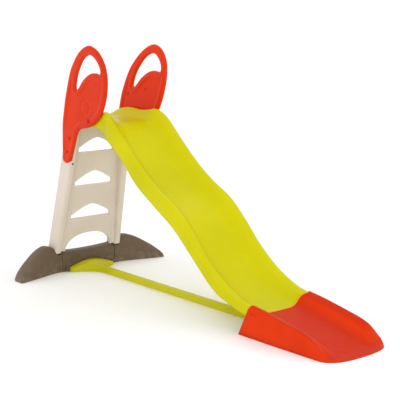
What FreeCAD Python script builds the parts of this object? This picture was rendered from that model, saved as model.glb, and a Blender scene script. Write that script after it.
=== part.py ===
import FreeCAD, Part
import math
import os
from FreeCAD import Vector

os.makedirs("parts", exist_ok=True)

# Garden slide for small children, in millimetres.
# +X runs down the slide, +Y is the rider's left, +Z is up and the ground is z = 0.
# Everything is drawn from a point just behind the tips of the base and moved at the end,
# so that the origin lies on the ground under the middle of the whole slide.

# overall sizes
slide_front_x = 2320.0      # front lip of the landing foot
base_back_x = -190.0        # flat back of the base crossbar
deck_height = 1005.0        # platform the child sits down on
base_half_width = 563.0     # tip of each base foot
handle_rise = 455.0         # top of the handles above the deck

# chute
chute_half_width = 225.0    # outside of the rolled rim
deck_half_width = 197.0     # narrower guard walls between the handles
chute_wall = 5.0
flare_start_x = 445.0       # where the guard walls widen into the full rim
flare_end_x = 505.0
chute_end_x = 1790.0
apron_bottom_drop = 32.0    # lower edge of the side walls below the deck

# landing foot
foot_wall = 4.5
foot_half_width = 230.5
foot_front_half_width = 222.0
front_round_depth = 62.0
front_round_height = 84.0

# ladder
rail_wall = 4.0
rail_bottom_z = 62.0
rail_seat_z = 125.0         # front of a rail stands on the base at this height
rail_top_drop = 60.0        # rail tops below the deck
rail_front_low = -58.0
rail_front_high = 144.0
rail_back_low = -160.0
rail_back_high = 36.0
rail_back_round = 9.0
rail_front_round = 17.0
rail_outer_low = 257.0      # outer face of a rail at the base
rail_outer_high = 219.0     # outer face of a rail at its top
rail_inner_low = 210.0
rail_inner_high = 172.0
panel_thickness = 22.0
opening_half_low = 186.0    # half widths of the ladder openings, from the base upwards
opening_half_first = 155.0
opening_half_top = 128.0
low_arch_spring = 130.0     # ends and crown of the large arch over the base
low_arch_top = 240.0
arch_top_rise = 98.0        # crown of the other arches above the step below
top_arch_rise = 94.0
arch_leg = 5.0              # narrow foot of each arch beside the rail
arch_leg_height = 36.0      # upright part of each opening
tread_thickness = 20.0
step_pitch = 222.5 * deck_height / 1005.0
ladder_low_z = 122.0
ladder_low_x = -69.4
ladder_high_x = 77.0        # front of the ladder panel at the top of the rails

# base
base_wall = 4.0
base_bolt_radius = 4.0
base_bolt_head_radius = 7.5
base_bolt_places = [(-160.0, 45.0), (-88.0, 40.0)]
ear_inner = 171.0           # ears of the crossbar that carry the tie bar
ear_outer = 183.0
ear_radius = 12.0
crossbar_half = 203.0
crossbar_front_x = -52.0

# handles
handle_thickness = 27.0
handle_wall = 4.0
boss_x = 255.0              # round boss on the outer face
boss_rise = 80.0
boss_radius = 38.0
boss_groove_radius = 52.0
boss_groove_depth = 3.0
dimple_places = [(121.0, 138.0), (298.0, 169.0)]
dimple_radius = 8.0
dimple_depth = 2.5

# fold
pivot_x = 290.0
pivot_z = deck_height
pivot_radius = 6.0
running_gap = 0.05          # radial clearance of a turning pin
tie_hinge_x = -36.0
tie_hinge_z = 16.0
tie_pin_radius = 5.0
tie_bar_end_x = 1722.0
bar_half = 17.5             # half width of the tie bar
bar_top_half = 13.5
bar_height = 38.5
bar_shoulder = 34.0
bar_start_x = 139.0
bar_wall = 4.0
hook_height = 46.0
tail_height = 25.0
side_gap = 0.5              # clearance between pieces that move past each other
screw_radius = 3.0
screw_head_radius = 7.0

deck_change = deck_height - 1005.0
x_stretch = (slide_front_x - 450.0) / (2320.0 - 450.0)
foot_inner_y = 207.0        # seam between the crossbar and a base foot
drawn_half_width = 563.0    # tip of the foot outline below
y_stretch = (base_half_width - foot_inner_y) / (drawn_half_width - foot_inner_y)
rail_top_z = deck_height - rail_top_drop
deck_side_bottom = deck_height - apron_bottom_drop


def stretchX(x):
    # the deck keeps its length and only the run below it stretches
    return x if x <= 450.0 else 450.0 + (x - 450.0) * x_stretch


def stretchZ(z):
    # above the deck sizes are kept, below it the drop stretches
    return z + deck_change if z >= 1005.0 else z * deck_height / 1005.0


# height of the rolled rim along the slide: deck wall, two waves, run-out
rim_line = [(-5, 1012), (70, 1043), (165, 1058), (285, 1050), (380, 1057), (440, 1062),
            (520, 1006), (650, 888), (800, 765), (930, 681), (1090, 597), (1215, 490),
            (1340, 364), (1478, 260), (1620, 189), (1710, 165), (1800, 153)]
# lower edge of the side skirts
skirt_line = [(-5, 973), (300, 973), (380, 962), (450, 930), (520, 893), (640, 805), (780, 677),
              (961, 567), (1117, 475), (1294, 328), (1405, 233), (1478, 184), (1549, 156),
              (1669, 122), (1800, 104)]
# depth of the channel below the rim
channel_line = [(-5, 12), (70, 42), (165, 54), (285, 48), (380, 60), (440, 72), (560, 80),
                (1400, 78), (1650, 66), (1800, 60)]
# rim and floor of the landing foot beyond the end of the chute
foot_rim_line = [(1620, 199), (1710, 175), (1800, 163), (1880, 150), (2000, 128),
                 (2140, 97), (2230, 70), (2290, 47), (2340, 24)]
foot_floor_line = [(1620, 132), (1710, 111), (1800, 101), (1880, 89), (2000, 67), (2140, 42),
                   (2240, 25), (2340, 13)]


def valueAt(line, x):
    # smooth curve through the points of a line, read at x
    if x <= line[0][0]:
        return float(line[0][1])
    if x >= line[-1][0]:
        return float(line[-1][1])
    last = len(line) - 1
    index = 0
    while index < last - 1 and line[index + 1][0] < x:
        index += 1
    x0, z0 = line[index]
    x1, z1 = line[index + 1]
    slope = (z1 - z0) / (x1 - x0)
    before = slope
    after = slope
    if index > 0:
        before = (z1 - line[index - 1][1]) / (x1 - line[index - 1][0])
    if index + 1 < last:
        after = (line[index + 2][1] - z0) / (line[index + 2][0] - x0)
    span = x1 - x0
    t = (x - x0) / span
    return (z0 * (2 * t ** 3 - 3 * t ** 2 + 1) + span * before * (t ** 3 - 2 * t ** 2 + t)
            + z1 * (-2 * t ** 3 + 3 * t ** 2) + span * after * (t ** 3 - t ** 2))


def box(x0, x1, y0, y1, z0, z1):
    return Part.makeBox(x1 - x0, y1 - y0, z1 - z0, Vector(x0, y0, z0))


def rodY(x, z, y0, y1, radius):
    return Part.makeCylinder(radius, y1 - y0, Vector(x, y0, z), Vector(0, 1, 0))


def rodX(y, z, x0, x1, radius):
    return Part.makeCylinder(radius, x1 - x0, Vector(x0, y, z), Vector(1, 0, 0))


def mirrored(shape):
    return shape.mirror(Vector(0, 0, 0), Vector(0, 1, 0))


def extruded(points, direction):
    wire = Part.makePolygon(points + [points[0]])
    return Part.Face(wire).extrude(direction)


def spline(points):
    curve = Part.BSplineCurve()
    curve.interpolate(points)
    return curve.toShape()


def closedSpline(points):
    curve = Part.BSplineCurve()
    curve.interpolate(points, PeriodicFlag=True)
    return Part.Wire([curve.toShape()])


def channelPoints(half, rim, depth, run):
    # half of the channel profile from the outer rim to the middle of the floor
    side = [(half, rim - 18.0), (half - 4.0, rim - 6.0), (half - 16.0, rim),
            (half - 30.0, rim - 0.03 * depth - 2.0), (half - 0.42 * run, rim - 0.26 * depth),
            (half - 0.60 * run, rim - 0.58 * depth), (half - 0.80 * run, rim - 0.86 * depth),
            (half - run, rim - 0.985 * depth), (half - run - 22.0, rim - depth)]
    middle = [(0.0, rim - depth)]
    other = [(-y, z) for y, z in reversed(side)]
    return side + middle + other


def offsetPoints(points, gap):
    # the same profile moved inwards by one wall
    moved = []
    last = len(points) - 1
    for index, (y, z) in enumerate(points):
        if index == 0:
            moved.append((y - gap, z))
        elif index == last:
            moved.append((y + gap, z))
        else:
            dy = points[index + 1][0] - points[index - 1][0]
            dz = points[index + 1][1] - points[index - 1][1]
            length = math.hypot(dy, dz)
            moved.append((y - gap * -dz / length * -1.0, z - gap * -dy / length))
    return moved


def atX(x, points):
    return [Vector(x, y, z) for y, z in points]


def chuteHalf(x):
    if x <= flare_start_x:
        return deck_half_width
    if x >= flare_end_x:
        return chute_half_width
    t = (x - flare_start_x) / (flare_end_x - flare_start_x)
    return deck_half_width + (chute_half_width - deck_half_width) * (3 * t ** 2 - 2 * t ** 3)


def chuteSection(x):
    half = chuteHalf(x)
    rim = stretchZ(valueAt(rim_line, x))
    depth = valueAt(channel_line, x)
    run = 92.0 + (half - deck_half_width) * 1.3
    skirt = stretchZ(valueAt(skirt_line, x)) if x > 300.0 else deck_side_bottom
    skirt = min(skirt, deck_side_bottom)
    real_x = stretchX(x)
    top = channelPoints(half, rim, depth, run)
    under = offsetPoints(top, chute_wall)
    first = Vector(real_x, half, skirt)
    firstIn = Vector(real_x, half - chute_wall, skirt)
    lastIn = Vector(real_x, -half + chute_wall, skirt)
    last = Vector(real_x, -half, skirt)
    topEdge = spline(atX(real_x, top))
    underEdge = spline(atX(real_x, under))
    topStart = Vector(real_x, top[0][0], top[0][1])
    topEnd = Vector(real_x, top[-1][0], top[-1][1])
    underStart = Vector(real_x, under[0][0], under[0][1])
    underEnd = Vector(real_x, under[-1][0], under[-1][1])
    return Part.Wire([Part.makeLine(first, topStart), topEdge, Part.makeLine(topEnd, last),
                      Part.makeLine(last, lastIn), Part.makeLine(lastIn, underEnd),
                      underEdge, Part.makeLine(underStart, firstIn),
                      Part.makeLine(firstIn, first)])


def endWall(x, thickness):
    # plate that closes the back of the deck
    half = chuteHalf(x)
    rim = stretchZ(valueAt(rim_line, x))
    points = channelPoints(half, rim, valueAt(channel_line, x), 92.0)
    top = spline(atX(x, points))
    low = deck_side_bottom
    wire = Part.Wire([Part.makeLine(Vector(x, half, low), Vector(x, half, points[0][1])), top,
                      Part.makeLine(Vector(x, -half, points[-1][1]), Vector(x, -half, low)),
                      Part.makeLine(Vector(x, -half, low), Vector(x, half, low))])
    return Part.Face(wire).extrude(Vector(thickness, 0, 0))


def chuteRun(start, end, count):
    step = (end - start) / count
    sections = [chuteSection(start + step * index) for index in range(count + 1)]
    return Part.makeLoft(sections, True, False)


def buildChute():
    deck = chuteRun(-5.0, flare_start_x, 7)
    flare = chuteRun(flare_start_x, flare_end_x, 4)
    run = chuteRun(flare_end_x, chute_end_x, 18)
    shell = run.fuse([deck, flare, endWall(-5.0, chute_wall)])
    for side in (1, -1):
        low = min(side * (deck_half_width - 25.0), side * (deck_half_width - 2.0))
        high = max(side * (deck_half_width - 25.0), side * (deck_half_width - 2.0))
        shell = shell.fuse(rodY(pivot_x, pivot_z, low, high, 20.0))
    shell = shell.cut(rodY(pivot_x, pivot_z, -250.0, 250.0, pivot_radius + running_gap))
    return shell


def footSolid(inset):
    # outside of the landing foot, or its hollow when inset is the wall
    sections = []
    for x in (1600, 1660, 1720, 1780, 1840, 1920, 2000, 2080, 2160, 2240, 2340):
        half = foot_half_width
        if x > 1800:
            share = (x - 1800.0) / 540.0
            half = foot_half_width + (foot_front_half_width - foot_half_width) * share
        rim = stretchZ(valueAt(foot_rim_line, x))
        floor = stretchZ(valueAt(foot_floor_line, x))
        points = channelPoints(half, rim, rim - floor, 142.0)
        if inset:
            points = offsetPoints(points, inset)
        real_x = stretchX(x)
        low = -1.0 if inset else 0.0
        edge = spline(atX(real_x, points))
        start = Vector(real_x, points[0][0], points[0][1])
        end = Vector(real_x, points[-1][0], points[-1][1])
        lowStart = Vector(real_x, points[0][0], low)
        lowEnd = Vector(real_x, points[-1][0], low)
        sections.append(Part.Wire([Part.makeLine(lowStart, start), edge,
                                   Part.makeLine(end, lowEnd),
                                   Part.makeLine(lowEnd, lowStart)]))
    return Part.makeLoft(sections, True, False)


def footPlan(inset, level):
    # plan outline of the landing foot on a plane that rises towards the slide
    front = slide_front_x - inset
    side = 240.0 - inset
    near = 222.5 - inset
    corner = slide_front_x - 105.0
    bend = corner + 52.0 - 0.6 * inset
    back = 1900.0

    def place(x, y):
        return Vector(x, y, level + 0.25 * (slide_front_x - x))

    points = [place(1500, side), place(back, side), place(corner, near),
              place(front - 32, 158 - 0.8 * inset)]
    left = [Vector(p.x, -p.y, p.z) for p in points]
    edges = [Part.makeLine(points[0], points[1]), Part.makeLine(points[1], points[2]),
             Part.Arc(points[2], place(bend, near - 20), points[3]).toShape(),
             Part.Arc(points[3], place(front, 0), left[3]).toShape(),
             Part.Arc(left[3], place(bend, -near + 20), left[2]).toShape(),
             Part.makeLine(left[2], left[1]), Part.makeLine(left[1], left[0]),
             Part.makeLine(left[0], points[0])]
    return Part.Wire(edges)


def footEnvelope(inset):
    # rounded front of the landing foot, drawn as a stack of outlines
    wires = [footPlan(inset, -160.0)]
    for index in range(9):
        angle = math.radians(10.0 * index)
        pull = front_round_depth * (1.0 - math.cos(angle))
        wires.append(footPlan(pull + inset, front_round_height * math.sin(angle) - inset))
    return Part.makeLoft(wires, True, True)


def buildLandingFoot():
    outer = footSolid(0.0).common(footEnvelope(0.0))
    inner = footSolid(foot_wall).common(footEnvelope(foot_wall))
    shell = outer.cut(inner)
    back = stretchX(1652.0)
    cutter = extruded([Vector(1400, -300, -10), Vector(back, -300, -10), Vector(back, -300, 0),
                       Vector(back + 12, -300, 41), Vector(back + 36, -300, 87),
                       Vector(back + 64, -300, 122), Vector(back + 82, -300, 145),
                       Vector(back + 88, -300, 260), Vector(1400, -300, 260)],
                      Vector(0, 600, 0))
    shell = shell.cut(cutter)
    # U-shaped edge across the channel
    depth = stretchX(1790.0)
    notch = Part.Face(closedSpline([Vector(back - 60, 0, 20), Vector(back - 40, 168, 20),
                                    Vector(back + 92, 152, 20), Vector(depth - 12, 96, 20),
                                    Vector(depth, 0, 20), Vector(depth - 12, -96, 20),
                                    Vector(back + 92, -152, 20),
                                    Vector(back - 40, -168, 20)])).extrude(Vector(0, 0, 200))
    shell = shell.cut(notch)
    # cross rib that the hook of the tie bar bears on, with a rib on each side of the bar
    hook = stretchX(tie_bar_end_x)
    ribs = box(hook - 27, hook - 21, -60, 60, 31, 80)
    for side in (1, -1):
        y = min(side * 54.0, side * 60.0)
        ribs = ribs.fuse(box(hook - 27, hook + 150, y, y + 6, 2, 80))
        upper = box(hook + 90, hook + 150, y, y + 6, 60, 160)
        ribs = ribs.fuse(upper.common(footSolid(foot_wall - 1.0)))
    upper = box(hook + 110, hook + 116, -60, 60, 50, 160)
    ribs = ribs.fuse(upper.common(footSolid(foot_wall - 1.0)))
    return shell.fuse(ribs)


def lean(z):
    # front face of the ladder panel at height z
    share = (z - ladder_low_z) / (rail_top_z - ladder_low_z)
    return ladder_low_x + (ladder_high_x - ladder_low_x) * share


def between(low, high, z):
    share = (z - ladder_low_z) / (945.0 + deck_change - ladder_low_z)
    return low + (high - low) * share


def railFront(z):
    return between(rail_front_low, rail_front_high, z)


def railBack(z):
    return between(rail_back_low, rail_back_high, z)


def railOuter(z):
    return between(rail_outer_low, rail_outer_high, z)


def railInner(z):
    return between(rail_inner_low, rail_inner_high, z)


def railSection(z, inset):
    # rounded column section, rounder towards the front
    x0 = railBack(z) + inset
    x1 = railFront(z) - inset
    y0 = railInner(z) + inset
    y1 = railOuter(z) - inset
    small = rail_back_round
    large = rail_front_round - inset
    bend = 1.0 - math.sqrt(0.5)
    edges = []
    edges.append(Part.makeLine(Vector(x0 + small, y0, z), Vector(x1 - large, y0, z)))
    edges.append(Part.Arc(Vector(x1 - large, y0, z),
                          Vector(x1 - bend * large, y0 + bend * large, z),
                          Vector(x1, y0 + large, z)).toShape())
    edges.append(Part.makeLine(Vector(x1, y0 + large, z), Vector(x1, y1 - large, z)))
    edges.append(Part.Arc(Vector(x1, y1 - large, z),
                          Vector(x1 - bend * large, y1 - bend * large, z),
                          Vector(x1 - large, y1, z)).toShape())
    edges.append(Part.makeLine(Vector(x1 - large, y1, z), Vector(x0 + small, y1, z)))
    edges.append(Part.Arc(Vector(x0 + small, y1, z),
                          Vector(x0 + bend * small, y1 - bend * small, z),
                          Vector(x0, y1 - small, z)).toShape())
    edges.append(Part.makeLine(Vector(x0, y1 - small, z), Vector(x0, y0 + small, z)))
    edges.append(Part.Arc(Vector(x0, y0 + small, z),
                          Vector(x0 + bend * small, y0 + bend * small, z),
                          Vector(x0 + small, y0, z)).toShape())
    return Part.Wire(edges)


def railColumn(inset, low, high):
    return Part.makeLoft([railSection(low, inset), railSection(high, inset)], True, True)


def openingHalf(z):
    # half width of the ladder openings
    if z < tread_heights[0]:
        share = (z - low_arch_spring) / (tread_heights[0] - low_arch_spring)
        return opening_half_low + (opening_half_first - opening_half_low) * share
    share = (z - tread_heights[0]) / (rail_top_z - tread_heights[0])
    return opening_half_first + (opening_half_top - opening_half_first) * share


deck_floor_z = deck_height - 2.0
tread_heights = [deck_floor_z - 3 * step_pitch, deck_floor_z - 2 * step_pitch,
                 deck_floor_z - step_pitch]


def onPanel(y, z, depth):
    return Vector(lean(z) - depth, y, z)


def panelSlab(outline, front, back):
    # flat piece of the leaning panel from an outline of (y, z) points
    shift = Vector(-(back - front), 0, 0)
    wire = Part.makePolygon([onPanel(y, z, front) for y, z in outline + [outline[0]]])
    return Part.Face(wire).extrude(shift)


def archSlab(sides, spring, apex, front, back, pointed):
    # panel with an arch cut into its lower edge; sides runs from the right spring, up and
    # across, down to the left spring
    points = [onPanel(y, z, front) for y, z in sides]
    edges = [Part.makeLine(points[i], points[i + 1]) for i in range(len(points) - 1)]
    half = sides[-1][0] - arch_leg
    edges.append(Part.makeLine(points[-1], onPanel(half, spring, front)))
    edges.append(Part.makeLine(onPanel(-half, spring, front), points[0]))
    rise = apex - spring
    curve = [onPanel(half, spring, front)]
    for share in (0.80, 0.5, 0.2):
        if pointed:
            height = rise * (1.0 - share ** 1.5)
        else:
            height = rise * math.sqrt(max(0.0, 1.0 - share ** 2.2))
        curve.append(onPanel(half * share, spring + height, front))
    top = onPanel(0.0, apex, front)
    left = curve + [top]
    right = [Vector(p.x, -p.y, p.z) for p in reversed(left)]
    edges.append(spline(left + right[1:]))
    outline = Part.Wire(Part.sortEdges(edges)[0])
    return Part.Face(outline).extrude(Vector(-(back - front), 0, 0))


def buildStep(index):
    # arched riser with a hollow tread on top
    tread = tread_heights[index]
    if index == 0:
        spring = low_arch_spring
        apex = low_arch_top * deck_height / 1005.0
    else:
        spring = tread_heights[index - 1] + arch_leg_height
        apex = tread_heights[index - 1] + arch_top_rise
    low = openingHalf(spring) - side_gap
    high = openingHalf(tread) - side_gap
    sides = [(-low, spring), (-high, tread), (high, tread), (low, spring)]
    panel = archSlab(sides, spring, apex, 0.0, panel_thickness, index > 0)
    inside = tread - tread_thickness
    half = railInner(tread - tread_thickness) - 1.0
    halfTop = railInner(tread) - 1.0
    back = railBack(tread) + 3.0
    backLow = railBack(inside) + 3.0
    front = lean(tread) - panel_thickness
    frontLow = lean(inside) - panel_thickness
    profile = [Vector(front + 1, -half, tread), Vector(frontLow + 1, -half, inside - 14),
               Vector(frontLow - 12, -half, inside), Vector(backLow + 8, -half, inside),
               Vector(backLow, -half, inside + 6), Vector(back, -half, tread - 5),
               Vector(back + 5, -half, tread)]
    plate = extruded(profile, Vector(0, 2 * half, 0))
    trim = box(-400, 400, -halfTop, halfTop, inside - 30, tread + 1)
    plate = plate.common(trim)
    for side in (1, -1):
        strip = [(side * (openingHalf(inside - 20) - side_gap), inside - 20),
                 (side * (openingHalf(tread) - side_gap), tread + 2),
                 (side * (railInner(tread) + 4), tread + 2),
                 (side * (railInner(tread) + 4), inside - 20)]
        plate = plate.cut(panelSlab(strip, -5.0, panel_thickness + 0.4))
    hollow = box(backLow + 7, frontLow - 1, -half + 5, half - 5, inside - 20, tread - 4.5)
    plate = plate.cut(hollow)
    for y in (-0.5 * half, 0.0, 0.5 * half):
        plate = plate.fuse(box(backLow + 8, frontLow - 2, y - 1.5, y + 1.5, inside + 1,
                               tread - 3))
    for side in (1, -1):
        tab = panelSlab([(side * (openingHalf(inside - 20) - 12), inside - 50),
                         (side * (railInner(inside - 50) - 2), inside - 50),
                         (side * (railInner(inside - 2) - 2), inside + 4),
                         (side * (openingHalf(inside) - 12), inside + 4)],
                        panel_thickness, panel_thickness + 5)
        plate = plate.fuse(tab)
    step = panel.fuse(plate)
    for y, z in stepScrewPlaces(index):
        x = lean(z) - panel_thickness
        step = step.cut(rodX(y, z, x - 14, x + 8, screw_radius + 0.02))
    return step.removeSplitter()


def stepScrewPlaces(index):
    z = tread_heights[index] - tread_thickness - 30.0 if index < 3 else rail_top_z - 30.0
    y = openingHalf(z) + 11.0
    return [(y, z), (-y, z)]


def buildBridge():
    # arched panel that closes the top of the ladder under the deck
    spring = tread_heights[2] + arch_leg_height
    apex = tread_heights[2] + top_arch_rise
    low = openingHalf(spring) - side_gap
    high = openingHalf(rail_top_z) - side_gap
    sides = [(-low, spring), (-high, rail_top_z), (high, rail_top_z), (low, spring)]
    panel = archSlab(sides, spring, apex, 0.0, panel_thickness, True)
    back = railBack(rail_top_z) + 3.0
    front = lean(rail_top_z) - panel_thickness + 1
    half = railInner(rail_top_z) - 1.5
    shelf = box(back - 50, front, -half, half, rail_top_z - 8, rail_top_z)
    for side in (1, -1):
        strip = [(side * (openingHalf(rail_top_z) - side_gap), rail_top_z - 20),
                 (side * (openingHalf(rail_top_z) - side_gap), rail_top_z + 2),
                 (side * (half + 4), rail_top_z + 2), (side * (half + 4), rail_top_z - 20)]
        shelf = shelf.cut(panelSlab(strip, -5.0, panel_thickness + 0.4))
    for y in (-90.0, 0.0, 90.0):
        shelf = shelf.fuse(extruded([Vector(back - 45, y - 2, rail_top_z - 6),
                                     Vector(front, y - 2, rail_top_z - 6),
                                     Vector(lean(rail_top_z - 46) - panel_thickness + 1, y - 2,
                                            rail_top_z - 46)], Vector(0, 4, 0)))
    for side in (1, -1):
        tab = panelSlab([(side * (openingHalf(rail_top_z - 50) - 12), rail_top_z - 50),
                         (side * (railInner(rail_top_z - 50) - 2), rail_top_z - 50),
                         (side * (railInner(rail_top_z - 4) - 2), rail_top_z - 4),
                         (side * (openingHalf(rail_top_z - 4) - 12), rail_top_z - 4)],
                        panel_thickness, panel_thickness + 5)
        shelf = shelf.fuse(tab)
    bridge = panel.fuse(shelf)
    for y, z in stepScrewPlaces(3):
        x = lean(z) - panel_thickness
        bridge = bridge.cut(rodX(y, z, x - 14, x + 8, screw_radius + 0.02))
    return bridge.removeSplitter()


def handleMiddle(z):
    # distance of the handle's middle surface from the centre plane; it leans out upwards
    line = [(720, 231), (800, 222), (900, 214), (960, 213), (1080, 213), (1160, 215),
            (1230, 219), (1320, 227), (1406, 237), (1480, 246)]
    return valueAt([(h + deck_change, y) for h, y in line], z)


def handleSlab(thickness):
    # curved plate that the handle outline is cut from
    heights = [700, 780, 860, 940, 1020, 1100, 1180, 1260, 1340, 1420, 1500]
    heights = [h + deck_change for h in heights]
    inner = [Vector(-150, handleMiddle(h) - thickness / 2.0, h) for h in heights]
    outer = [Vector(-150, handleMiddle(h) + thickness / 2.0, h) for h in heights]
    outer.reverse()
    wire = Part.Wire([spline(inner), Part.makeLine(inner[-1], outer[0]), spline(outer),
                      Part.makeLine(outer[-1], inner[0])])
    return Part.Face(wire).extrude(Vector(800, 0, 0))


# outline of a handle seen from the side, as (x, height above the deck)
handle_outline = [(21, -262), (12, -218), (3, -140), (0, -70), (6, -10), (22, 62), (45, 140),
                  (80, 222), (122, 300), (170, 356), (222, 403), (280, 438), (344, 455),
                  (398, 444), (443, 414), (478, 366), (495, 310), (495, 240), (477, 160),
                  (441, 76), (406, 30), (355, -8), (290, -36), (225, -47), (184, -62),
                  (157, -95), (134, -160), (113, -223), (92, -262), (57, -277)]
handle_opening = [(350, 405), (283, 375), (229, 325), (189, 264), (166, 212), (168, 184),
                  (217, 208), (263, 252), (317, 280), (368, 289), (416, 283), (437, 300),
                  (431, 342), (403, 386)]


def outlineWire(points, depth):
    top_scale = handle_rise / 455.0
    placed = []
    for x, h in points:
        rise = h * top_scale if h > 0 else h
        placed.append(Vector(x, depth, deck_height + rise))
    return closedSpline(placed)


def handleBody(inset):
    outline = outlineWire(handle_outline, 100.0)
    opening = outlineWire(handle_opening, 100.0)
    if inset:
        outline = outline.makeOffset2D(-inset)
        opening = opening.makeOffset2D(inset)
    plate = Part.Face(outline).extrude(Vector(0, 250, 0))
    plate = plate.cut(Part.Face(opening).extrude(Vector(0, 250, 0)))
    return plate.common(handleSlab(handle_thickness - 2 * inset))


def handleEnvelope(gap):
    # flat-sided space the lower leg of the handle takes out of the rail
    outline = outlineWire(handle_outline, 0.0).makeOffset2D(gap + 1.2)
    flat = extruded(outline.discretize(120)[:-1], Vector(0, 400, 0))
    flat = flat.common(box(-60, 260, -5, 405, 600, deck_height + 30))
    heights = [700, 800, 900, 960, 1080]
    heights = [h + deck_change for h in heights]
    half = handle_thickness / 2.0 + gap + 0.6
    side = [Vector(-200, handleMiddle(h) - half, h) for h in heights]
    side.append(Vector(-200, 400, heights[-1]))
    side.append(Vector(-200, 400, heights[0]))
    return flat.common(extruded(side, Vector(600, 0, 0)))


boss_z = deck_height + boss_rise


def buildHandle():
    body = handleBody(0.0)
    # round raised ring on the outer face and two dimples on the inner face
    face = handleMiddle(boss_z) + handle_thickness / 2.0
    body = body.cut(rodY(boss_x, boss_z, face - boss_groove_depth, face + 20,
                         boss_groove_radius))
    body = body.fuse(rodY(boss_x, boss_z, face - 2 * boss_groove_depth, face - 0.5,
                          boss_radius))
    hollow = handleBody(handle_wall)
    hollow = hollow.cut(rodY(boss_x, boss_z, 100, 300, boss_groove_radius + 6.0))
    pads = handleScrewPlaces() + [(pivot_x, pivot_z)]
    for x, z in pads:
        hollow = hollow.cut(rodY(x, z, 100, 300, 16.0))
    body = body.cut(hollow)
    for x, rise in dimple_places:
        z = deck_height + rise
        inner = handleMiddle(z) - handle_thickness / 2.0
        body = body.cut(rodY(x, z, inner - 10, inner + dimple_depth, dimple_radius))
    for x, z in handleScrewPlaces():
        body = body.cut(rodY(x, z, 100, 300, screw_radius + 0.02))
    body = body.cut(rodY(pivot_x, pivot_z, 100, 300, pivot_radius + 0.02))
    return body


def handleScrewPlaces():
    return [(64.0, 800.0 + deck_change), (84.0, 884.0 + deck_change)]


def buildRail():
    outer = railColumn(0.0, rail_bottom_z, rail_top_z)
    inner = railColumn(rail_wall, rail_bottom_z - 5, rail_top_z - rail_wall)
    outer = outer.cut(handleEnvelope(0.4))
    inner = inner.cut(handleEnvelope(0.4 + rail_wall))
    column = outer.cut(inner)
    web_low = 134.0
    web = [(opening_half_low, web_low), (openingHalf(tread_heights[0]), tread_heights[0]),
           (openingHalf(rail_top_z), rail_top_z), (railInner(rail_top_z) + 2.5, rail_top_z),
           (railInner(web_low) + 2.5, web_low)]
    strip = panelSlab(web, 0.0, panel_thickness)
    rail = column.fuse(strip)
    # the front of the rail stands on the base and only its back goes down into it
    seat = extruded([Vector(-101, 150, 40), Vector(60, 150, 40), Vector(60, 150, rail_seat_z),
                     Vector(-86, 150, rail_seat_z), Vector(-101, 150, rail_seat_z + 6)],
                    Vector(0, 150, 0))
    rail = rail.cut(seat)
    for x, z in handleScrewPlaces():
        rail = rail.cut(rodY(x, z, railOuter(z) - 60, railOuter(z) + 20, screw_radius + 0.02))
    for index in range(4):
        for y, z in stepScrewPlaces(index):
            x = lean(z) - panel_thickness
            rail = rail.cut(rodX(y, z, x - 12, x + 14, screw_radius + 0.02))
    rail = rail.cut(rodX(rail_screw_y, rail_screw_z, -220, railBack(rail_screw_z) + 14,
                         screw_radius + 0.02))
    rail = rail.cut(rodX(plug_y, plug_z, railFront(plug_z) - 12, railFront(plug_z) + 5,
                         plug_radius + 0.02))
    return rail.removeSplitter()


rail_screw_y = 234.0
rail_screw_z = 78.0
plug_z = 722.0 * deck_height / 1005.0
plug_y = 207.0
plug_radius = 7.0

# base foot outline: (distance from the centre plane, front x, back x, top height)
foot_sections = [(207, -52, -186, 131), (235, -52, -186, 146), (265, -49, -184, 164),
                 (299, -42, -180, 175), (342, -30, -171, 170), (395, -13, -157, 147),
                 (445, 3, -138, 117), (492, 16, -116, 85), (530, 26, -92, 54),
                 (553, 30, -68, 30), (563, 24, -40, 9)]


def domeSection(y, front, back, top, inset):
    # arched section of the base across its depth
    x0 = back + inset
    x1 = front - inset
    height = top - inset
    low = -1.0 if inset else 0.0
    mid = 0.5 * (x0 + x1)
    points = [Vector(x1, y, low), Vector(x1 - 0.03 * (x1 - x0), y, 0.52 * height),
              Vector(x1 - 0.085 * (x1 - x0), y, 0.86 * height),
              Vector(x1 - 0.22 * (x1 - x0), y, 0.98 * height), Vector(mid, y, height),
              Vector(x0 + 0.30 * (x1 - x0), y, 0.98 * height),
              Vector(x0 + 0.12 * (x1 - x0), y, 0.80 * height),
              Vector(x0 + 0.03 * (x1 - x0), y, 0.48 * height), Vector(x0, y, low)]
    return Part.Wire([spline(points), Part.makeLine(points[-1], points[0])])


def stretchY(y):
    return foot_inner_y + (y - foot_inner_y) * y_stretch


def baseFootSolid(inset):
    wires = []
    for index, (y, front, back, top) in enumerate(foot_sections):
        place = stretchY(y)
        if inset and index == 0:
            place += inset
        if inset and index == len(foot_sections) - 1:
            continue
        wires.append(domeSection(place, front, back, top, inset))
    return Part.makeLoft(wires, True, False)


def buildBaseFoot():
    shell = baseFootSolid(0.0).cut(baseFootSolid(base_wall))
    socket = railColumn(-0.4, rail_bottom_z - 4, 260.0)
    shell = shell.cut(socket)
    shell = shell.cut(rodX(rail_screw_y, rail_screw_z, -230, -150, screw_radius + 0.02))
    for x, z in base_bolt_places:
        shell = shell.cut(rodY(x, z, 190, 240, base_bolt_radius + 0.02))
    return shell


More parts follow.
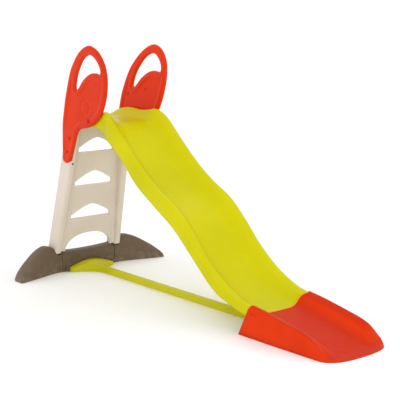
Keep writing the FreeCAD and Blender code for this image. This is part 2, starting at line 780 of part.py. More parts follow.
def buildCrossbar():
    end = crossbar_half
    sections = [(-end, 129.0), (-0.5 * end, 123.0), (0.0, 121.0), (0.5 * end, 123.0),
                (end, 129.0)]
    outer = Part.makeLoft([domeSection(y, crossbar_front_x, base_back_x, top, 0.0)
                           for y, top in sections], True, False)
    inner = Part.makeLoft([domeSection(y * (end - base_wall) / end, crossbar_front_x,
                                       base_back_x, top, base_wall)
                           for y, top in sections], True, False)
    bar = outer.cut(inner)
    # ears that carry the hinge pegs of the tie bar
    for side in (1, -1):
        y0 = min(side * ear_inner, side * ear_outer)
        y1 = y0 + ear_outer - ear_inner
        ear = box(crossbar_front_x - 3, tie_hinge_x, y0, y1, 2, tie_hinge_z + ear_radius)
        ear = ear.fuse(rodY(tie_hinge_x, tie_hinge_z, y0, y1, ear_radius))
        bar = bar.fuse(ear)
    bar = bar.cut(rodY(tie_hinge_x, tie_hinge_z, -186, 186, tie_pin_radius + running_gap))
    for x, z in base_bolt_places:
        bar = bar.cut(rodY(x, z, -240, -190, base_bolt_radius + 0.02))
        bar = bar.cut(rodY(x, z, 190, 240, base_bolt_radius + 0.02))
    return bar.removeSplitter()


def hubHalf(x):
    # half width of the tie bar's hub, which sweeps in from the hinge to the bar
    line = [(-34, 168), (-10, 160), (15, 118), (45, 72), (80, 38), (115, 21), (140, 17.5)]
    return valueAt(line, x)


def buildTieBar():
    back = tie_hinge_x - 13.0
    right = [Vector(x, hubHalf(x), 0) for x in (-34, -10, 15, 45, 80, 115, 140)]
    left = [Vector(p.x, -p.y, 0) for p in reversed(right)]
    plan = Part.Face(Part.Wire([
        Part.makeLine(Vector(back, -166, 0), Vector(back, 166, 0)),
        Part.Arc(Vector(back, 166, 0), Vector(back + 4, 168, 0), right[0]).toShape(),
        spline(right), Part.makeLine(right[-1], left[0]), spline(left),
        Part.Arc(left[-1], Vector(back + 4, -168, 0), Vector(back, -166, 0)).toShape()]))
    hub = plan.extrude(Vector(0, 0, 70))
    crown = [Vector(-60, -175, 17), Vector(-60, -120, 36), Vector(-60, -55, 52),
             Vector(-60, 0, 57), Vector(-60, 55, 52), Vector(-60, 120, 36),
             Vector(-60, 175, 17)]
    dome = Part.Face(Part.Wire([spline(crown),
                                Part.makeLine(crown[-1], Vector(-60, 175, -1)),
                                Part.makeLine(Vector(-60, 175, -1), Vector(-60, -175, -1)),
                                Part.makeLine(Vector(-60, -175, -1), crown[0])]))
    hub = hub.common(dome.extrude(Vector(240, 0, 0)))
    slope = extruded([Vector(-60, -200, -1), Vector(-60, -200, 60), Vector(-20, -200, 60),
                      Vector(60, -200, 46), Vector(150, -200, 38.5), Vector(150, -200, -1)],
                     Vector(0, 400, 0))
    hub = hub.common(slope)
    end = stretchX(tie_bar_end_x)
    start = bar_start_x
    bar = extruded([Vector(start, -bar_half, 0), Vector(start, bar_half, 0),
                    Vector(start, bar_half, bar_shoulder),
                    Vector(start, bar_top_half, bar_height),
                    Vector(start, -bar_top_half, bar_height),
                    Vector(start, -bar_half, bar_shoulder)], Vector(end - 60 - start, 0, 0))
    tail = box(end - 61, end, -bar_half, bar_half, 0, tail_height)
    hook = box(end - 20, end, -bar_half, bar_half, 0, hook_height)
    tie = hub.fuse(bar).fuse(tail).fuse(hook)
    # round back edge so that the hub can turn beside the crossbar
    corner = box(back - 5, tie_hinge_x, -170, 170, -1, tie_hinge_z)
    corner = corner.cut(rodY(tie_hinge_x, tie_hinge_z, -170, 170, 13.0))
    tie = tie.cut(corner)
    # hollow underside
    wide = bar_half - bar_wall
    narrow = bar_top_half - 3.0
    under = extruded([Vector(start, -wide, -1), Vector(start, wide, -1),
                      Vector(start, wide, bar_shoulder - bar_wall),
                      Vector(start, narrow, bar_height - bar_wall),
                      Vector(start, -narrow, bar_height - bar_wall),
                      Vector(start, -wide, bar_shoulder - bar_wall)],
                     Vector(end - 70 - start, 0, 0))
    tie = tie.cut(under)
    for x0, x1 in ((-14, 12), (16, 46), (50, 92), (96, 138)):
        half = min(hubHalf(x0), hubHalf(x1)) - 5.0
        top = 26.0 if x1 < 20 else 32.0
        crownHalf = min(half, 118.0)
        tie = tie.cut(box(x0, x1, -crownHalf, crownHalf, -1, top))
    for x in range(240, int(end) - 120, 120):
        tie = tie.fuse(box(x, x + 3, -14, 14, 4, 35))
    for side in (1, -1):
        y0 = min(side * 160.0, side * 182.0)
        tie = tie.fuse(rodY(tie_hinge_x, tie_hinge_z, y0, y0 + 22, tie_pin_radius))
    return tie.removeSplitter()


def headedY(x, z, inner, outer, radius, head_radius, head):
    # screw along Y with its head at the outer end
    low = min(inner, outer)
    high = max(inner, outer)
    shaft = rodY(x, z, low, high, radius)
    start = outer if outer > inner else outer - head
    return shaft.fuse(rodY(x, z, start, start + head, head_radius)).removeSplitter()


def hexNut(x, z, y0, y1, across, bore):
    points = []
    for corner in range(6):
        angle = math.radians(60 * corner)
        points.append(Vector(x + across * math.cos(angle), y0, z + across * math.sin(angle)))
    nut = extruded(points, Vector(0, y1 - y0, 0))
    return nut.cut(rodY(x, z, y0 - 5, y1 + 5, bore))


def bothSides(shapes):
    return Part.makeCompound(shapes + [mirrored(shape) for shape in shapes])


def buildPivotBolts():
    outer = handleMiddle(pivot_z) + handle_thickness / 2.0
    bolt = headedY(pivot_x, pivot_z, 158.0, outer, pivot_radius, 14.0, 5.0)
    return bothSides([bolt])


def buildPivotNuts():
    return bothSides([hexNut(pivot_x, pivot_z, 161.0, 171.5, 11.0, pivot_radius + 0.01)])


def buildHandleScrews():
    screws = []
    for x, z in handleScrewPlaces():
        outer = handleMiddle(z) + handle_thickness / 2.0 + 1.2
        screws.append(headedY(x, z, outer - 38.0, outer, screw_radius, screw_head_radius, 3.0))
    return bothSides(screws)


def buildStepScrews():
    screws = []
    for index in range(4):
        y, z = stepScrewPlaces(index)[0]
        x = lean(z) - panel_thickness - 5.0
        shaft = rodX(y, z, x - 1.2, x + 16, screw_radius)
        screws.append(shaft.fuse(rodX(y, z, x - 4.2, x - 1.2, 5.5)).removeSplitter())
    return bothSides(screws)


def buildRailFootScrews():
    x = -185.0
    shaft = rodX(rail_screw_y, rail_screw_z, x, railBack(rail_screw_z) + 12, screw_radius)
    head = rodX(rail_screw_y, rail_screw_z, x - 3.0, x, screw_head_radius)
    return bothSides([shaft.fuse(head).removeSplitter()])


def buildRailPlugs():
    x = railFront(plug_z)
    plug = rodX(plug_y, plug_z, x - 9, x + 1, plug_radius)
    return bothSides([plug])


def buildBaseBolts():
    bolts = []
    for x, z in base_bolt_places:
        bolts.append(headedY(x, z, crossbar_half - base_wall - 8.0,
                             foot_inner_y + base_wall + 0.5, base_bolt_radius,
                             base_bolt_head_radius, 4.0))
    return bothSides(bolts)


def buildBaseNuts():
    nuts = []
    for x, z in base_bolt_places:
        nuts.append(hexNut(x, z, crossbar_half - base_wall - 7.0,
                           crossbar_half - base_wall - 0.5, base_bolt_head_radius,
                           base_bolt_radius + 0.01))
    return bothSides(nuts)


def footScrewPlaces():
    return [(stretchX(1748.0), stretchZ(128.0)), (stretchX(1776.0), stretchZ(126.0))]


def buildLandingScrews():
    screws = []
    for x, z in footScrewPlaces():
        screws.append(headedY(x, z, 214.0, foot_half_width + 0.1, screw_radius,
                              screw_head_radius, 2.5))
    return bothSides(screws)


def save(name, shape):
    centre = 0.5 * (slide_front_x + base_back_x)
    moved = shape.copy()
    moved.translate(Vector(-centre, 0, 0))
    solids = moved.Solids
    print(name, "solids", len(solids), "valid", moved.isValid(),
          "litres", round(moved.Volume / 1e6, 3))
    if len(solids) == 1:
        moved = solids[0]
    moved.exportStep("parts/" + name + ".step")


chute = buildChute()
landingFoot = buildLandingFoot()
for x, z in footScrewPlaces():
    hole = rodY(x, z, -260.0, 260.0, screw_radius + 0.02)
    chute = chute.cut(hole)
    landingFoot = landingFoot.cut(hole)
save("chute", chute)
save("landing_foot", landingFoot)
save("landing_foot_screws", buildLandingScrews())

rail = buildRail()
save("ladder_rail_left", rail)
save("ladder_rail_right", mirrored(rail))
for index in range(3):
    save("ladder_step_" + str(index + 1), buildStep(index))
save("ladder_top_bridge", buildBridge())
save("step_screws", buildStepScrews())
save("rail_plugs", buildRailPlugs())

baseFoot = buildBaseFoot()
save("base_foot_left", baseFoot)
save("base_foot_right", mirrored(baseFoot))
save("base_crossbar", buildCrossbar())
save("base_bolts", buildBaseBolts())
save("base_nuts", buildBaseNuts())
save("rail_foot_screws", buildRailFootScrews())

handle = buildHandle()
save("handle_left", handle)
save("handle_right", mirrored(handle))
save("handle_screws", buildHandleScrews())
save("pivot_bolts", buildPivotBolts())
save("pivot_nuts", buildPivotNuts())

save("tie_bar", buildTieBar())
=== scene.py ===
import math
import bpy
import numpy as np
import bmesh
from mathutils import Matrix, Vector
from mathutils.geometry import delaunay_2d_cdt


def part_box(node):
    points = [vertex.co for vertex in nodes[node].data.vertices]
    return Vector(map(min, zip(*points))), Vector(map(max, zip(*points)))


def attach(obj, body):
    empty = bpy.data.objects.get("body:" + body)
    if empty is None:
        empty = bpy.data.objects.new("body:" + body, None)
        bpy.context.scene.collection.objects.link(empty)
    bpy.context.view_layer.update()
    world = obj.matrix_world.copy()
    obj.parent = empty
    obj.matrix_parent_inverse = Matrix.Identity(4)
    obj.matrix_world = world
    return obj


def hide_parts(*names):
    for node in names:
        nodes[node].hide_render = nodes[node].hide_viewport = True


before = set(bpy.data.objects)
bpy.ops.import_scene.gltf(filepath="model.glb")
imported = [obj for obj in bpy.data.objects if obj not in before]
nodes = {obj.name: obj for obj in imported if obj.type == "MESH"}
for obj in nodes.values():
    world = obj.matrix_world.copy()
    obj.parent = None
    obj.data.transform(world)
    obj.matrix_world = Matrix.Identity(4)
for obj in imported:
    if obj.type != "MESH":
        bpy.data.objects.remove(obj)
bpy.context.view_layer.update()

cameraValues = {"place": (4.371, -3.692, 1.632), "tilt": 79.81, "turn": 49.74,
                "lens": 92.0, "sensor": 36.0}
worldValues = {"color": (1.0, 1.0, 1.0, 1.0), "strength": 1.06}
lampValues = {
    "keyLight": {"place": (3.4, -4.2, 2.9), "aim": (0, 0, 0.5), "size": 2.6, "power": 38.0},
    "fillLight": {"place": (4.6, 1.6, 2.6), "aim": (0, 0, 0.5), "size": 3.0, "power": 8.0},
    "rimLight": {"place": (-3.6, 2.6, 3.8), "aim": (0, 0, 0.6), "size": 2.6, "power": 10.0},
}
floorValues = {"half": 14.0, "drop": 0.0006, "tone": 0.97, "rough": 0.9}


def addCamera():
    data = bpy.data.cameras.new("slideCamera")
    data.lens = cameraValues["lens"]
    data.sensor_width = cameraValues["sensor"]
    camera = bpy.data.objects.new("slideCamera", data)
    camera.location = cameraValues["place"]
    camera.rotation_euler = (math.radians(cameraValues["tilt"]), 0.0,
                             math.radians(cameraValues["turn"]))
    bpy.context.scene.collection.objects.link(camera)
    bpy.context.scene.camera = camera


def addAreaLight(name, values):
    data = bpy.data.lights.new(name, "AREA")
    data.shape = "SQUARE"
    data.size = values["size"]
    data.energy = values["power"]
    lamp = bpy.data.objects.new(name, data)
    lamp.location = values["place"]
    aim = Vector(values["aim"]) - Vector(values["place"])
    lamp.rotation_euler = aim.to_track_quat("-Z", "Y").to_euler()
    bpy.context.scene.collection.objects.link(lamp)


def addStudio():
    world = bpy.data.worlds.new("studio")
    bpy.context.scene.world = world
    world.use_nodes = True
    background = world.node_tree.nodes["Background"]
    background.inputs["Color"].default_value = worldValues["color"]
    background.inputs["Strength"].default_value = worldValues["strength"]
    for name, values in lampValues.items():
        addAreaLight(name, values)


def addFloor():
    half = floorValues["half"]
    mesh = bpy.data.meshes.new("studioFloor")
    mesh.from_pydata([(-half, -half, 0), (half, -half, 0), (half, half, 0), (-half, half, 0)],
                     [], [(0, 1, 2, 3)])
    floor = bpy.data.objects.new("studioFloor", mesh)
    floor.location.z = -floorValues["drop"]
    bpy.context.scene.collection.objects.link(floor)
    paint = bpy.data.materials.new("paleFloor")
    paint.use_nodes = True
    shader = paint.node_tree.nodes["Principled BSDF"]
    shader.inputs["Base Color"].default_value = (floorValues["tone"],) * 3 + (1.0,)
    shader.inputs["Roughness"].default_value = floorValues["rough"]
    mesh.materials.append(paint)


addCamera()
addStudio()
addFloor()
bpy.context.scene.view_settings.view_transform = "Standard"
print("camera and studio ready")


def newGroup(name, inputs, outputs):
    group = bpy.data.node_groups.new(name, "ShaderNodeTree")
    for label, kind, value in inputs:
        socket = group.interface.new_socket(name=label, in_out="INPUT", socket_type=kind)
        socket.default_value = value
    for label, kind in outputs:
        group.interface.new_socket(name=label, in_out="OUTPUT", socket_type=kind)
    return group, group.nodes.new("NodeGroupInput"), group.nodes.new("NodeGroupOutput")


def mathNode(tree, operation, first, second=None, clamp=False):
    node = tree.nodes.new("ShaderNodeMath")
    node.operation = operation
    node.use_clamp = clamp
    for index, value in enumerate((first, second)):
        if value is None:
            continue
        if isinstance(value, (int, float)):
            node.inputs[index].default_value = value
        else:
            tree.links.new(value, node.inputs[index])
    return node.outputs[0]


def noiseNode(tree, vector, scale, detail=3.0, roughness=0.5):
    node = tree.nodes.new("ShaderNodeTexNoise")
    node.inputs["Detail"].default_value = detail
    node.inputs["Roughness"].default_value = roughness
    tree.links.new(vector, node.inputs["Vector"])
    if isinstance(scale, (int, float)):
        node.inputs["Scale"].default_value = scale
    else:
        tree.links.new(scale, node.inputs["Scale"])
    return node.outputs["Fac"]


def rangeNode(tree, value, low, high, outLow=0.0, outHigh=1.0):
    node = tree.nodes.new("ShaderNodeMapRange")
    node.interpolation_type = "SMOOTHSTEP"
    tree.links.new(value, node.inputs["Value"])
    node.inputs["From Min"].default_value = low
    node.inputs["From Max"].default_value = high
    node.inputs["To Min"].default_value = outLow
    node.inputs["To Max"].default_value = outHigh
    return node.outputs["Result"]


skinValues = {"cloud": (4.0, 0.55), "grain": (2.0, 0.6),  # detail, roughness
              "patch": (38.0, 3.0, 0.6), "wave": (11.0, 1.0, 0.4),  # scale before them
              "waveHeight": 1.6}


def makeMouldSkin():  # fine moulded grain with slow, slightly cloudy tint changes
    group, given, out = newGroup(
        "mouldSkin",
        [("Vector", "NodeSocketVector", (0, 0, 0)), ("Cloud Scale", "NodeSocketFloat", 3.0),
         ("Grain Scale", "NodeSocketFloat", 700.0), ("Grain", "NodeSocketFloat", 0.5)],
        [("Tint", "NodeSocketFloat"), ("Rough", "NodeSocketFloat"),
         ("Height", "NodeSocketFloat")])
    vector = given.outputs["Vector"]
    cloud = noiseNode(group, vector, given.outputs["Cloud Scale"], *skinValues["cloud"])
    patch = noiseNode(group, vector, *skinValues["patch"])
    grain = noiseNode(group, vector, given.outputs["Grain Scale"], *skinValues["grain"])
    wave = noiseNode(group, vector, *skinValues["wave"])
    group.links.new(cloud, out.inputs["Tint"])
    group.links.new(patch, out.inputs["Rough"])
    fine = mathNode(group, "MULTIPLY", grain, given.outputs["Grain"])
    slow = mathNode(group, "MULTIPLY", wave, skinValues["waveHeight"])
    group.links.new(mathNode(group, "ADD", fine, slow), out.inputs["Height"])
    return group


scuffValues = {"stretch": (2.2, 120.0, 2.2), "lines": (2.4, 5.0, 0.7),
               "patches": (4.0, 2.0, 0.5), "sharp": (0.60, 0.70), "spread": (0.42, 0.62)}


def makeScuffs():  # long fine scratches along the slide
    group, given, out = newGroup(
        "slideScuffs",
        [("Vector", "NodeSocketVector", (0, 0, 0)), ("Amount", "NodeSocketFloat", 0.5)],
        [("Mask", "NodeSocketFloat")])
    stretch = group.nodes.new("ShaderNodeMapping")
    stretch.inputs["Scale"].default_value = scuffValues["stretch"]
    group.links.new(given.outputs["Vector"], stretch.inputs["Vector"])
    lines = noiseNode(group, stretch.outputs["Vector"], *scuffValues["lines"])
    patches = noiseNode(group, given.outputs["Vector"], *scuffValues["patches"])
    sharp = rangeNode(group, lines, *scuffValues["sharp"])
    spread = rangeNode(group, patches, *scuffValues["spread"])
    mask = mathNode(group, "MULTIPLY", sharp, spread)
    group.links.new(mathNode(group, "MULTIPLY", mask, given.outputs["Amount"]),
                    out.inputs["Mask"])
    return group


dustValues = {"color": (0.42, 0.36, 0.28, 1.0), "height": 0.16, "power": 1.6,
              "specks": (26.0, 6.0, 0.7), "speckRange": (0.35, 0.75)}


def makeGroundDust():  # dust and splashes that gather near the ground
    group, given, out = newGroup(
        "groundDust",
        [("Vector", "NodeSocketVector", (0, 0, 0)), ("Height", "NodeSocketFloat", 0.12),
         ("Amount", "NodeSocketFloat", 0.5)],
        [("Mask", "NodeSocketFloat")])
    parts = group.nodes.new("ShaderNodeSeparateXYZ")
    group.links.new(given.outputs["Vector"], parts.inputs["Vector"])
    share = mathNode(group, "DIVIDE", parts.outputs["Z"], given.outputs["Height"], True)
    low = mathNode(group, "SUBTRACT", 1.0, share, True)
    noise = noiseNode(group, given.outputs["Vector"], *dustValues["specks"])
    specks = rangeNode(group, noise, *dustValues["speckRange"])
    fall = mathNode(group, "POWER", low, dustValues["power"])
    mask = mathNode(group, "MULTIPLY", fall, specks)
    group.links.new(mathNode(group, "MULTIPLY", mask, given.outputs["Amount"]),
                    out.inputs["Mask"])
    return group


mouldSkin = makeMouldSkin()
slideScuffs = makeScuffs()
groundDust = makeGroundDust()
print("shader groups ready")

plasticValues = {
    "limePlastic": {"color": (0.62, 0.578, 0.0004), "dark": (0.565, 0.53, 0.0004),
                    "rough": 0.34, "spread": 0.10, "grain": 0.35, "grainScale": 900.0,
                    "bump": 0.10, "scuff": 0.25, "dust": 0.08, "coat": 0.03,
                    "shine": 0.07},
    "limeStrut": {"color": (0.60, 0.56, 0.0005), "dark": (0.52, 0.49, 0.0005),
                  "rough": 0.40, "spread": 0.10, "grain": 0.4, "grainScale": 900.0,
                  "bump": 0.12, "scuff": 0.15, "dust": 0.18, "coat": 0.02,
                  "shine": 0.06},
    "redPlastic": {"color": (0.74, 0.036, 0.002), "dark": (0.66, 0.030, 0.0015),
                   "rough": 0.33, "spread": 0.10, "grain": 0.35, "grainScale": 900.0,
                   "bump": 0.10, "scuff": 0.20, "dust": 0.10, "coat": 0.04,
                   "shine": 0.09},
    # the foot's red carries a painted shade on its upward-facing floor
    "footPlastic": {"color": (0.74, 0.042, 0.003), "dark": (0.66, 0.034, 0.002),
                    "rough": 0.36, "spread": 0.10, "grain": 0.35, "grainScale": 900.0,
                    "bump": 0.10, "scuff": 0.30, "dust": 0.04, "coat": 0.0,
                    "paintedTopShade": 0.85, "paintedTopShadeColor": (0.55, 0.022, 0.0015),
                    "shine": 0.04},
    # painted highlight: lighter orange-red for the cut edges of the foot's shell
    "highlightRedEdge": {"color": (0.93, 0.16, 0.02), "dark": (0.88, 0.13, 0.015),
                "rough": 0.4, "spread": 0.10, "grain": 0.35, "grainScale": 900.0,
                "bump": 0.06, "scuff": 0.1, "dust": 0.05, "coat": 0.0,
                "shine": 0.06},
    # painted highlight: bright yellow-orange for the bead that stands in for the lit line along
    # the foot's cut back edge
    "highlightFootEdge": {"color": (0.90, 0.44, 0.02), "dark": (0.88, 0.38, 0.015),
                 "rough": 0.42, "spread": 0.10, "grain": 0.35, "grainScale": 900.0,
                 "bump": 0.05, "scuff": 0.1, "dust": 0.05, "coat": 0.0,
                 "shine": 0.05},
    "beigePlastic": {"color": (0.74, 0.655, 0.575), "dark": (0.68, 0.60, 0.52),
                     "rough": 0.48, "spread": 0.10, "grain": 0.8, "grainScale": 620.0,
                     "bump": 0.16, "scuff": 0.12, "dust": 0.15, "coat": 0.0,
                     "shine": 0.11},
    "brownPlastic": {"color": (0.150, 0.105, 0.068), "dark": (0.118, 0.082, 0.053),
                     "rough": 0.50, "spread": 0.12, "grain": 0.9, "grainScale": 560.0,
                     "bump": 0.18, "scuff": 0.10, "dust": 0.35, "coat": 0.0,
                     "shine": 0.11},
    "darkPlug": {"color": (0.20, 0.16, 0.12), "dark": (0.15, 0.12, 0.09),
                 "rough": 0.5, "spread": 0.1, "grain": 0.5, "grainScale": 900.0,
                 "bump": 0.1, "scuff": 0.0, "dust": 0.05, "coat": 0.0,
                 "shine": 0.11},
}
# wear settings, and the range of upward normals that gets the foot's painted shade
wearAndShadeValues = {"cloudScale": 2.6, "cloud": (0.35, 0.70), "rough": (0.3, 0.7),
              "paleGain": 1.12, "paleAdd": 0.004, "scuffColor": 0.5, "scuffRough": 0.25,
              "scuffDepth": 0.8, "shadeFacing": (0.72, 0.98), "bumpDepth": 0.001,
              "coatRough": 0.22}


def groupNode(tree, group, vector, values):
    node = tree.nodes.new("ShaderNodeGroup")
    node.node_tree = group
    tree.links.new(vector, node.inputs["Vector"])
    for name, value in values.items():
        node.inputs[name].default_value = value
    return node


def mixColor(tree, mask, first, second):
    node = tree.nodes.new("ShaderNodeMix")
    node.data_type = "RGBA"
    factor, colorA, colorB = node.inputs[0], node.inputs[6], node.inputs[7]
    if isinstance(mask, (int, float)):
        factor.default_value = mask
    else:
        tree.links.new(mask, factor)
    for socket, value in ((colorA, first), (colorB, second)):
        if isinstance(value, tuple):
            socket.default_value = value if len(value) == 4 else value + (1.0,)
        else:
            tree.links.new(value, socket)
    return node.outputs[2]


def plasticMaterial(name):
    values = plasticValues[name]
    material = bpy.data.materials.new(name)
    material.use_nodes = True
    tree = material.node_tree
    shader = tree.nodes["Principled BSDF"]
    vector = tree.nodes.new("ShaderNodeTexCoord").outputs["Object"]
    skin = groupNode(tree, mouldSkin, vector,
                     {"Cloud Scale": wearAndShadeValues["cloudScale"],
                      "Grain Scale": values["grainScale"],
                      "Grain": values["grain"]})
    scuffs = groupNode(tree, slideScuffs, vector, {"Amount": values["scuff"]})
    dust = groupNode(tree, groundDust, vector, {"Height": dustValues["height"],
                                               "Amount": values["dust"]})
    cloud = rangeNode(tree, skin.outputs["Tint"], *wearAndShadeValues["cloud"])
    color = mixColor(tree, cloud, values["color"], values["dark"])
    pale = tuple(min(1.0, c * wearAndShadeValues["paleGain"] + wearAndShadeValues["paleAdd"])
                 for c in values["color"])
    scratched = mathNode(tree, "MULTIPLY", scuffs.outputs["Mask"], wearAndShadeValues["scuffColor"])
    color = mixColor(tree, scratched, color, pale)
    # painted shade: faces that point upwards are mixed towards a darker red, standing in for
    # the dimmer light on the foot's floor
    if "paintedTopShade" in values:
        parts = tree.nodes.new("ShaderNodeSeparateXYZ")
        shadeFacing = tree.nodes.new("ShaderNodeTexCoord").outputs["Normal"]
        tree.links.new(shadeFacing, parts.inputs["Vector"])
        flat = rangeNode(tree, parts.outputs["Z"], *wearAndShadeValues["shadeFacing"], 0.0, values["paintedTopShade"])
        color = mixColor(tree, flat, color, values["paintedTopShadeColor"])
    color = mixColor(tree, dust.outputs["Mask"], color, dustValues["color"])
    tree.links.new(color, shader.inputs["Base Color"])
    rough = rangeNode(tree, skin.outputs["Rough"], *wearAndShadeValues["rough"],
                      values["rough"] - 0.5 * values["spread"],
                      values["rough"] + 0.5 * values["spread"])
    dull = mathNode(tree, "MULTIPLY", scuffs.outputs["Mask"], wearAndShadeValues["scuffRough"])
    rough = mathNode(tree, "ADD", rough, dull, True)
    tree.links.new(rough, shader.inputs["Roughness"])
    bump = tree.nodes.new("ShaderNodeBump")
    bump.inputs["Strength"].default_value = values["bump"]
    bump.inputs["Distance"].default_value = wearAndShadeValues["bumpDepth"]
    cut = mathNode(tree, "MULTIPLY", scuffs.outputs["Mask"], wearAndShadeValues["scuffDepth"])
    height = mathNode(tree, "SUBTRACT", skin.outputs["Height"], cut)
    tree.links.new(height, bump.inputs["Height"])
    tree.links.new(bump.outputs["Normal"], shader.inputs["Normal"])
    shader.inputs["Coat Weight"].default_value = values["coat"]
    shader.inputs["Coat Roughness"].default_value = wearAndShadeValues["coatRough"]
    shader.inputs["Specular IOR Level"].default_value = values["shine"]
    return material


steelValues = {"color": (0.58, 0.58, 0.57), "dark": (0.40, 0.40, 0.40),
               "rough": (0.24, 0.44), "cloudScale": 60.0, "grainScale": 1800.0,
               "grain": 0.6, "bump": 0.12, "bumpDepth": 0.0005}


def steelMaterial():
    material = bpy.data.materials.new("zincSteel")
    material.use_nodes = True
    tree = material.node_tree
    shader = tree.nodes["Principled BSDF"]
    vector = tree.nodes.new("ShaderNodeTexCoord").outputs["Object"]
    skin = groupNode(tree, mouldSkin, vector,
                     {"Cloud Scale": steelValues["cloudScale"],
                      "Grain Scale": steelValues["grainScale"],
                      "Grain": steelValues["grain"]})
    cloud = rangeNode(tree, skin.outputs["Tint"], *wearAndShadeValues["cloud"])
    tree.links.new(mixColor(tree, cloud, steelValues["color"], steelValues["dark"]),
                   shader.inputs["Base Color"])
    tree.links.new(rangeNode(tree, skin.outputs["Rough"], *wearAndShadeValues["rough"],
                             *steelValues["rough"]), shader.inputs["Roughness"])
    bump = tree.nodes.new("ShaderNodeBump")
    bump.inputs["Strength"].default_value = steelValues["bump"]
    bump.inputs["Distance"].default_value = steelValues["bumpDepth"]
    tree.links.new(skin.outputs["Height"], bump.inputs["Height"])
    tree.links.new(bump.outputs["Normal"], shader.inputs["Normal"])
    shader.inputs["Metallic"].default_value = 1.0
    return material


materials = {name: plasticMaterial(name) for name in plasticValues}
materials["zincSteel"] = steelMaterial()
finishes = {
    "chute": "limePlastic", "tie_bar": "limeStrut", "landing_foot": "footPlastic",
    "handle_left": "redPlastic", "handle_right": "redPlastic",
    "handle_screws": "redPlastic", "pivot_bolts": "redPlastic",
    "landing_foot_screws": "redPlastic",
    "ladder_rail_left": "beigePlastic", "ladder_rail_right": "beigePlastic",
    "ladder_step_1": "beigePlastic", "ladder_step_2": "beigePlastic",
    "ladder_step_3": "beigePlastic", "ladder_top_bridge": "beigePlastic",
    "base_foot_left": "brownPlastic", "base_foot_right": "brownPlastic",
    "base_crossbar": "brownPlastic", "rail_plugs": "darkPlug",
}


def dressNode(name, node):
    material = materials[finishes.get(name, "zincSteel")]
    for index in range(len(node.material_slots)):
        node.material_slots[index].material = material
    if not node.material_slots:
        node.data.materials.append(material)


for name, node in nodes.items():
    dressNode(name, node)
print("materials on", len(nodes), "nodes")

frameShift = 1.065  # drawing x minus this is the frame's x


def valueAt(line, x):  # smooth curve through the points of a line
    if x <= line[0][0]:
        return line[0][1]
    if x >= line[-1][0]:
        return line[-1][1]
    index = 0
    while line[index + 1][0] < x:
        index += 1
    x0, z0 = line[index]
    x1, z1 = line[index + 1]
    before = after = (z1 - z0) / (x1 - x0)
    if index > 0:
        before = (z1 - line[index - 1][1]) / (x1 - line[index - 1][0])
    if index + 2 < len(line):
        after = (line[index + 2][1] - z0) / (line[index + 2][0] - x0)
    span = x1 - x0
    t = (x - x0) / span
    return (z0 * (2 * t ** 3 - 3 * t ** 2 + 1) + span * before * (t ** 3 - 2 * t ** 2 + t)
            + z1 * (3 * t ** 2 - 2 * t ** 3) + span * after * (t ** 3 - t ** 2))


def smoothStep(value, low, high):
    t = min(1.0, max(0.0, (value - low) / (high - low)))
    return t * t * (3.0 - 2.0 * t)


def place(x, y, z):
    return (x / 1000.0 - frameShift, y / 1000.0, z / 1000.0)


def roundLine(points, steps):  # open smooth line through points
    result = []
    last = len(points) - 1
    for index in range(last):
        p0 = Vector(points[max(index - 1, 0)])
        p1 = Vector(points[index])
        p2 = Vector(points[index + 1])
        p3 = Vector(points[min(index + 2, last)])
        for step in range(steps):
            t = step / steps
            result.append(0.5 * (2 * p1 + (p2 - p0) * t
                                 + (2 * p0 - 5 * p1 + 4 * p2 - p3) * t * t
                                 + (3 * p1 - p0 - 3 * p2 + p3) * t ** 3))
    result.append(Vector(points[-1]))
    return result


def roundLoop(points, spacing, steps=12, least=8):  # closed smooth loop, evenly spaced
    raw = []
    count = len(points)
    for index in range(count):
        p0, p1, p2, p3 = (Vector(points[(index + k) % count]) for k in (-1, 0, 1, 2))
        for step in range(steps):
            t = step / steps
            raw.append(0.5 * (2 * p1 + (p2 - p0) * t + (2 * p0 - 5 * p1 + 4 * p2 - p3) * t * t
                              + (3 * p1 - p0 - 3 * p2 + p3) * t ** 3))
    lengths = [0.0]
    for index in range(len(raw)):
        step = (raw[(index + 1) % len(raw)] - raw[index]).length
        lengths.append(lengths[-1] + step)
    number = max(least, round(lengths[-1] / spacing))
    loop = []
    index = 0
    for k in range(number):
        want = lengths[-1] * k / number
        while lengths[index + 1] < want:
            index += 1
        share = (want - lengths[index]) / (lengths[index + 1] - lengths[index])
        loop.append(raw[index].lerp(raw[(index + 1) % len(raw)], share))
    return loop


def newPiece(name, mesh, material, body):
    obj = bpy.data.objects.new(name, mesh)
    bpy.context.scene.collection.objects.link(obj)
    mesh.materials.append(materials[material])
    for face in mesh.polygons:
        face.use_smooth = True
    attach(obj, body)
    return obj


def tidyNormals(mesh, near=0.00002):
    work = bmesh.new()
    work.from_mesh(mesh)
    bmesh.ops.remove_doubles(work, verts=work.verts, dist=near)
    bmesh.ops.recalc_face_normals(work, faces=work.faces)
    work.to_mesh(mesh)
    work.free()


def beadMesh(name, path, radius, closed, reference, sides=8):  # round bead along a path
    work = bmesh.new()
    count = len(path)
    rings = []
    for index, spot in enumerate(path):
        ahead = path[(index + 1) % count] if closed or index + 1 < count else spot
        behind = path[index - 1] if closed or index > 0 else spot
        along = (ahead - behind).normalized()
        side = along.cross(Vector(reference)).normalized()
        up = side.cross(along)
        turn = [2.0 * math.pi * k / sides for k in range(sides)]
        rings.append([work.verts.new(spot + radius * (side * math.cos(a) + up * math.sin(a)))
                      for a in turn])
    for index in range(count if closed else count - 1):
        first = rings[index]
        second = rings[(index + 1) % count]
        for k in range(sides):
            after = (k + 1) % sides
            work.faces.new((first[k], first[after], second[after], second[k]))
    if not closed:
        work.faces.new(rings[0])
        work.faces.new(rings[-1])
    bmesh.ops.recalc_face_normals(work, faces=work.faces)
    mesh = bpy.data.meshes.new(name)
    work.to_mesh(mesh)
    work.free()
    return mesh


